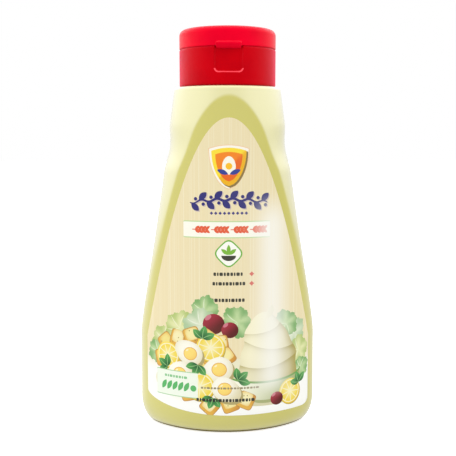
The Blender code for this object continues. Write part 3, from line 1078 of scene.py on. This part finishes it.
def emblem(centre, size):
    """Shield with an egg on it."""
    u = np.linspace(1.0, 0.0, 18)
    side = np.stack((0.46 * (1.0 - u * u) ** 0.6, 0.4 - 0.92 * u), axis=1)
    t = np.linspace(1.0, -1.0, 15)[1:-1]
    top = np.stack((0.46 * t, 0.4 + 0.08 * (1.0 - t * t)), axis=1)
    shield = np.concatenate((side, top, side[:0:-1] * (-1.0, 1.0)))
    low = np.add(centre, (0.035 * size, -0.035 * size))
    shapes = [(placed(shield, place, 0.0, share * size), fill) for share, place, fill in (
        (1.12, centre, "F4CDA6"), (1.08, centre, "FFFBF2"), (0.98, low, "8E7A46"),
        (0.96, centre, graded("FFE23C", "F3B71E", centre, low)),
        (0.74, centre, graded("F98A1C", "EE6A1A", centre, low)),
    )]
    egg = rounded(0.34 * size, 0.46 * size)
    egg[:, 0] *= 1.0 - 0.5 * egg[:, 1] / size
    shapes.append((placed(egg, np.add(centre, (0.0, 0.02 * size))), "FFFCF0"))
    shapes.append(oval(centre, 0.17 * size, 0.17 * size, "FFC428"))
    for way in (-1.0, 1.0):
        foot = np.add(centre, (0.02 * size * way, -0.2 * size))
        turn = 90.0 - 68.0 * way
        shapes.append((placed(leaf(0.3 * size, 0.12 * size), foot, turn), "33429A"))
    return shapes


def flourish(code, shade):
    """Leafy branch on a shallow arc, with its soft shadow."""
    level, reach, sag, wave, spacing = 118.6, 19.0, 1.6, 0.6, 3.8
    s = np.linspace(-reach, reach, 80)

    def height(across):
        return level - sag * (across / reach) ** 2 + wave * np.sin(np.pi * across / spacing)

    outlines = [strip(np.stack((s, height(s)), axis=1), 1.3, 0.6)]
    for i in range(10):
        foot = (i - 4.5) * spacing
        way = 1.0 if i % 2 else -1.0
        outlines.append(placed(leaf(5.2, 3.1), (foot - 1.2, height(foot)), 44.0 * way))
        outlines.append(placed(rounded(1.7, 1.7), (foot + 0.9, height(foot) - 2.1 * way)))
    shifted = [(outline + (0.5, -0.5), shade) for outline in outlines]
    return shifted + [(outline, code) for outline in outlines]


def beads(start, stop, z, size, step, code):
    """Row of small diamonds."""
    return [(placed(diamond(size, size), (s, z)), code)
            for s in np.arange(start, stop, step)]


def banner():
    """White band between green lines, with a row of ears of grain."""
    low, high, left, right = 100.4, 107.7, -22.5, 20.5
    middle = 0.5 * (low + high)
    shapes = [
        patch(left, right, low - 0.5, high + 0.5, "BFDDA0"),
        patch(left, right, low, high, "FFFDF4"),
    ]
    for i in range(4):
        foot = -18.0 + 9.4 * i
        stem = bow((foot, middle), (foot + 8.0, middle), 0.0)
        shapes.append((strip(stem, 0.45), "E8603C"))
        for j in range(4):
            for way in (-1.0, 1.0):
                grain = placed(leaf(2.9, 1.35), (foot + 1.4 + 1.7 * j, middle), 36.0 * way)
                shapes.append((grain, "E8603C"))
    return shapes


def badge(centre):
    """Green-lined tile with a sprout over a dark bowl."""
    tile = rounded(11.4, 11.4, 0.55)
    shapes = [
        (placed(tile, centre, 45.0), "6DB33F"),
        (placed(tile, centre, 45.0, 0.89), "FFFFFA"),
    ]
    s, z = centre
    bowl = [(s - 3.6 * math.cos(a), z - 1.0 - 2.6 * math.sin(a))
            for a in np.linspace(0.0, math.pi, 16)]
    shapes.append((bowl, "35352C"))
    for turn, length in ((38.0, 4.6), (90.0, 5.0), (142.0, 4.6)):
        shapes.append((placed(leaf(length, 1.9), (s, z - 0.6), turn), "7DB93B"))
    return shapes


def dashes(start, stop, z, height, code):
    """Row of short round-ended bars."""
    shapes = []
    s = start
    while s < stop:
        length = DASH_LENGTHS[len(shapes) % len(DASH_LENGTHS)]
        shapes.append((placed(rounded(length, height, 0.5), (s + 0.5 * length, z)), code))
        s += length + DASH_GAP
    return shapes


def panel_box():
    """Pale box with green lines and a green sprig."""
    low, high, left, right = 19.5, 32.0, -39.0, -15.5
    shapes = [
        patch(left, right, low - 0.4, high + 0.4, "A6D4A0"),
        patch(left, right, low, high, "F4FBF0"),
    ]
    shapes += dashes(-34.0, -22.0, 29.3, 1.3, "8CCB94")
    for i in range(5):
        shapes.append((placed(leaf(5.4, 2.5), (-35.6 + 3.2 * i, 22.2), 62.0), "5DB86C"))
    shapes.append(oval((-17.9, 24.2), 3.2, 3.2, "5DB86C"))
    return shapes


def text_width(z):
    """Half the width that lines of print keep to at a height."""
    arch = min(1.0, (LABEL_TOP - z) / (LABEL_TOP - LABEL_STRAIGHT_TOP))
    return TEXT_SHARE * LABEL_HALF_WIDTH * math.sqrt(arch)


def table(low, high, left, right):
    """Ruled table with a green head and short entries in two columns."""
    shapes = [
        patch(left, right, low, high, "7DB86C"),
        patch(left + 0.5, right - 0.5, low + 0.5, high - 0.5, "FFFDF6"),
        patch(left, right, high - 3.4, high, "7DB86C"),
    ]
    for z in np.arange(low + 2.6, high - 4.0, 3.6):
        shapes += dashes(left + 2.0, left + 13.0, z, 1.2, "4A463A")
        shapes += dashes(right - 7.0, right - 4.0, z, 1.2, "4A463A")
        rule = strip(((left + 1.0, z + 1.8), (right - 1.0, z + 1.8)), 0.25)
        shapes.append((rule, "BFDDA0"))
    return shapes


def bar_stripes(low, high, left, right):
    """White patch of upright black stripes of uneven width."""
    shapes = [patch(left - 1.5, right + 1.5, low - 1.5, high + 1.5, "FFFFFF")]
    draw = random.Random(SPECK_SEED)
    s = left
    while s < right:
        width = draw.choice((0.35, 0.6, 0.9))
        shapes.append((strip(((s, low), (s, high)), width), "232323"))
        s += width + draw.choice((0.45, 0.8))
    return shapes


def back_print():
    shapes = emblem((0.0, 134.0), 14.0)
    shapes += beads(-12.0, 12.5, 121.0, 1.7, 2.1, "4A4585")
    for i, z in enumerate(np.arange(114.0, 60.0, -4.4)):
        reach = text_width(z)
        code = "D9503F" if i in (0, 6) else "4A463A"
        shapes += dashes(-reach, (0.2 if i in (5, 11) else 1.0) * reach - 3.0, z, 1.4, code)
    shapes += table(22.0, 55.0, -33.0, 4.0)
    shapes += bar_stripes(26.0, 40.0, 12.0, 32.0)
    shapes += badge((22.0, 50.0))
    return shapes


def front_print():
    shapes = emblem((0.0, 134.5), 19.0)
    shapes += flourish("302F7A", "D3C3BE")
    shapes += beads(-8.4, 8.8, 112.0, 1.7, 2.1, "4A4585")
    shapes += banner()
    shapes += badge((-0.1, 92.4))
    for z, start, stop in ((82.3, -7.5, 8.5), (77.6, -8.0, 9.0)):
        shapes += dashes(start, stop - 2.0, z, 1.7, "3A3A30")
        shapes.append((placed(diamond(2.4, 2.4), (11.2, z)), "D9503F"))
    shapes += dashes(-10.0, 8.0, 69.4, 1.7, "3A3A30")
    shapes += meal()
    shapes += panel_box()
    shapes += dashes(-14.0, 14.0, 25.0, 1.0, "9A8F70")
    shapes += dashes(-16.3, 13.0, 18.8, 1.6, "2F2F28")
    return shapes


# Cap


def cap_angles():
    """Directions round the cap from the front, close together over recess and hinge."""
    front = np.radians(np.linspace(-20.0, 20.0, 121))
    side = np.radians(np.linspace(20.0, 160.0, 56))[1:-1]
    back = np.radians(np.linspace(160.0, 200.0, 121))
    return np.concatenate((front, side, back, side + np.pi))


def pocketed(radius, angle, z):
    """Radii of the cap or lid, drawn in to the floor of the hinge's pocket."""
    over = np.abs(CAP_RADIUS * np.sin(angle)) - POCKET_HALF_WIDTH
    share = (
        (1.0 - smooth_step(over, 0.0, POCKET_DRAFT))
        * smooth_step(z, POCKET_BOTTOM - POCKET_DRAFT, POCKET_BOTTOM)
        * (1.0 - smooth_step(z, POCKET_TOP, POCKET_TOP + POCKET_DRAFT))
        * (np.cos(angle) < 0.0)
    )
    floor = POCKET_FLOOR / np.maximum(-np.cos(angle), 0.5)
    return radius - share * np.maximum(radius - floor, 0.0)


def recess_share(x, z):
    """How deep a point of the cap's side lies in the thumb recess, from 0 to 1."""
    across = np.abs(x) - (RECESS_HALF_WIDTH - RECESS_CORNER)
    down = RECESS_BOTTOM + RECESS_CORNER - z
    distance = (
        np.hypot(np.maximum(across, 0.0), np.maximum(down, 0.0))
        + np.minimum(np.maximum(across, down), 0.0)
        - RECESS_CORNER
    )
    return smooth_step(-distance, -0.5 * RECESS_DRAFT, 0.5 * RECESS_DRAFT)


def cap_ring(radius, angle, z):
    """Points of a ring of the cap or lid, from its radii and heights."""
    radius = pocketed(radius, angle, z)
    z = np.broadcast_to(z, angle.shape)
    return np.stack((radius * np.sin(angle), -radius * np.cos(angle), z), axis=1)


def rounded_corner(radius, height, size, start, stop, count):
    """(radius, height) points of a round corner, 0 degrees outwards and 90 up."""
    turns = np.radians(np.linspace(start, stop, count))
    return list(zip(radius + size * np.cos(turns), height + size * np.sin(turns)))


def cap_profile():
    """(radius, height) points up the cap's side to the collar under the lid."""
    rim = CAP_BOTTOM + RIM_CORNER
    seam = CAP_SEAM - 0.5 * SEAM_GAP - SEAM_CORNER
    profile = [(CLOSING_RADIUS, CAP_BOTTOM)]
    profile += rounded_corner(CAP_RADIUS - RIM_CORNER, rim, RIM_CORNER, -90.0, 0.0, 8)
    profile += [(CAP_RADIUS, z) for z in levels(
        (rim + 1.0, RECESS_BOTTOM - 1.2, 1.0),
        (RECESS_BOTTOM - 1.2, RECESS_BOTTOM + 3.0, 0.1),
        (RECESS_BOTTOM + 3.0, POCKET_BOTTOM - 0.6, 0.5),
        (POCKET_BOTTOM - 0.4, POCKET_BOTTOM + 0.3, 0.1),
        (POCKET_BOTTOM + 0.5, seam - 0.1, 0.5),
    )]
    profile += rounded_corner(CAP_RADIUS - SEAM_CORNER, seam, SEAM_CORNER, 0.0, 90.0, 6)
    collar = (seam + SEAM_CORNER, CAP_SEAM + 0.5 * SEAM_GAP)
    return profile + [(COLLAR_RADIUS, z) for z in collar]


def make_cap(material, painted_light_material):
    """Screwed part of the cap, with the thumb recess in its front."""
    angle = cap_angles()
    front = np.cos(angle) > 0.0
    back = (CAP_RADIUS - RECESS_DEPTH) / np.maximum(np.cos(angle), 0.5)
    depth = np.minimum(back - CAP_RADIUS, 0.0) * front
    rings = []
    for r, z in cap_profile():
        share = recess_share(CAP_RADIUS * np.sin(angle), z) * (r > CLOSING_RADIUS)
        rings.append(cap_ring(r + depth * share, angle, z))
    cap = new_piece("cap", *lofted(rings), material)
    cap.data.materials.append(painted_light_material)
    # Faces along the recess's lower edge take the painted highlight.
    for face in cap.data.polygons:
        x, y, z = face.center / MM
        share = recess_share(x, z) if y < 0.0 else 0.0
        painted_highlight_ledge = z < RECESS_BOTTOM + HIGHLIGHT_RISE
        face.material_index = int(painted_highlight_ledge and HIGHLIGHT_SHARES[0] < share < HIGHLIGHT_SHARES[1])
    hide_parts("cap_skirt")


def lip_share(angle):
    """Where round the lid its lip stands out, from 0 to 1."""
    over = np.abs(CAP_RADIUS * np.sin(angle)) - LIP_HALF_WIDTH
    share = 1.0 - smooth_step(over, -LIP_SIDE_DRAFT, LIP_SIDE_DRAFT)
    return np.where(np.cos(angle) > 0.0, share, 0.0)


def lip_reach(z):
    """How far the lip stands out at a height: a bevel to its edge, then a round underside."""
    (bottom, inner), (edge, outer) = LIP_BOTTOM, LIP_EDGE
    down = np.clip((edge - z) / (edge - bottom), 0.0, 1.0)
    under = inner + (outer - inner) * np.sqrt(1.0 - down * down)
    bevel = outer * np.clip((LIP_TOP - z) / (LIP_TOP - edge), 0.0, 1.0)
    return np.where(z < edge, under, bevel)


def lid_profile(under):
    """(radius, height) points up the lid's side and over its top."""
    flat = CAP_RADIUS - LID_SHOULDER
    shoulder = LID_TOP - LID_SHOULDER
    tilt = math.degrees(math.atan(2.0 * LID_DOME / flat))
    low = under + SEAM_CORNER
    side = rounded_corner(CAP_RADIUS - SEAM_CORNER, low, SEAM_CORNER, -90.0, 0.0, 6)
    side += [(CAP_RADIUS, z) for z in levels(
        (low + 0.1, POCKET_TOP + 0.4, 0.1),
        (POCKET_TOP + 0.4, shoulder, 0.5),
    )]
    side += rounded_corner(flat, shoulder, LID_SHOULDER, 0.0, 90.0 - tilt, 20)
    shares = np.linspace(0.95, 0.05, 18)
    return side + list(zip(flat * shares, LID_TOP + LID_DOME * (1.0 - shares * shares)))


def make_lid(material):
    """Flip lid with its lip over the recess and a slightly domed top."""
    angle = cap_angles()
    lip = lip_share(angle)
    under = CAP_SEAM + 0.5 * SEAM_GAP
    middle = under + LIP_STRETCH
    drop = (under - LIP_BOTTOM[0]) * lip
    inner = UNDERSIDE_FRONT / np.maximum(np.cos(angle), 0.9)
    rings = [
        cap_ring(np.full_like(angle, CLOSING_RADIUS), angle, under),
        cap_ring(np.minimum(inner, UNDERSIDE_RADIUS), angle, under),
    ]
    for r, z in lid_profile(under):
        height = z - drop * np.clip((middle - z) / (middle - under), 0.0, 1.0)
        radius = r + lip * lip_reach(height)
        if z < under + 1.0:
            radius = radius + lip * (CAP_RADIUS - r)
        rings.append(cap_ring(radius, angle, height))
    lid = new_piece("lid", *lofted(rings), material)
    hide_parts("flip_lid")


# Stage


def make_floor():
    """Plain white floor that shows to the camera alone, so it sends up no light of its own."""
    paper = Material("floor paper", (0.9, 0.9, 0.9), 0.8,
                     Emission_Color=FULL_WHITE, Emission_Strength=FLOOR_GLOW)
    paper.set(Roughness=paper.between(paper.noise(0.05), 0.3, 0.7, 0.75, 0.85))
    size = FLOOR_HALF_WIDTH
    corners = [(-size, -size, 0.0), (size, -size, 0.0), (size, size, 0.0), (-size, size, 0.0)]
    floor = new_object("floor", corners, [(0, 1, 2, 3)], paper.material)
    floor.visible_diffuse = False
    floor.visible_glossy = False
    floor.visible_shadow = False


def room_light(nodes):
    """Strength of the room's light in each direction."""
    way = nodes.node("ShaderNodeTexCoord").outputs["Generated"]
    split = nodes.node("ShaderNodeSeparateXYZ", {0: way}).outputs
    strength = nodes.between(split["Z"], *ROOM_RISE, *ROOM_FRONT)
    for axis, span, light in ROOM_SIDES:
        share = nodes.between(split[axis], *span)
        side = nodes.between(split["Z"], *ROOM_RISE, *light)
        mix = nodes.node("ShaderNodeMix", {"Factor": share, "A": strength, "B": side})
        strength = mix.outputs["Result"]
    return strength


def make_world():
    """White surround to the eye, over a room whose light grows upwards and to the back."""
    world = bpy.data.worlds.new("studio")
    bpy.context.scene.world = world
    world.use_nodes = True
    nodes = Nodes(world.node_tree)
    room = nodes.tree.nodes["Background"]
    nodes.feed(room, {"Color": FULL_WHITE, "Strength": room_light(nodes)})
    seen = nodes.node("ShaderNodeBackground", {"Color": FULL_WHITE})
    to_eye = nodes.node("ShaderNodeLightPath").outputs["Is Camera Ray"]
    both = nodes.node("ShaderNodeMixShader", {0: to_eye, 1: room.outputs[0], 2: seen.outputs[0]})
    nodes.feed(nodes.tree.nodes["World Output"], {"Surface": both.outputs[0]})


def make_stage():
    """White room with soft light. Colours are shown as they are, without a film curve."""
    bpy.context.scene.view_settings.view_transform = "Standard"
    make_floor()
    make_world()


def make_camera():
    data = bpy.data.cameras.new("camera")
    data.lens = CAMERA_LENS
    data.sensor_width = 36.0
    data.clip_start = 0.01
    camera = bpy.data.objects.new("camera", data)
    camera.location = Vector(CAMERA_PLACE) * MM
    camera.rotation_euler = Vector(CAMERA_WAY).to_track_quat("-Z", "Y").to_euler()
    bpy.context.scene.collection.objects.link(camera)
    bpy.context.scene.camera = camera


make_camera()
make_stage()
film = printed_film()
# Its second material is a painted contact shadow at the standing edge.
make_bottle(bottle_plastic(), painted_contact_shadow())
front = make_label("front_print", front_print(), False, GLARE, film)
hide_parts("label_front")
back = make_label("back_print", back_print(), True, 0.0, film)
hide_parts("label_back")
# The cap's second material is a painted highlight along the recess's lower edge.
make_cap(moulded_red("cap plastic", SKIRT_RED, (1.0, 0.0, 0.2), 0.85),
         moulded_red("painted highlight edge", PAINTED_HIGHLIGHT_RED, (1.0, 0.1, 0.2), 0.55))
lid_plastic = moulded_red("lid plastic", LID_RED, (0.0, 0.01, 0.05), 0.0)
make_lid(lid_plastic)
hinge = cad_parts["lid_hinge"]
hinge.data.materials.clear()
hinge.data.materials.append(lid_plastic)
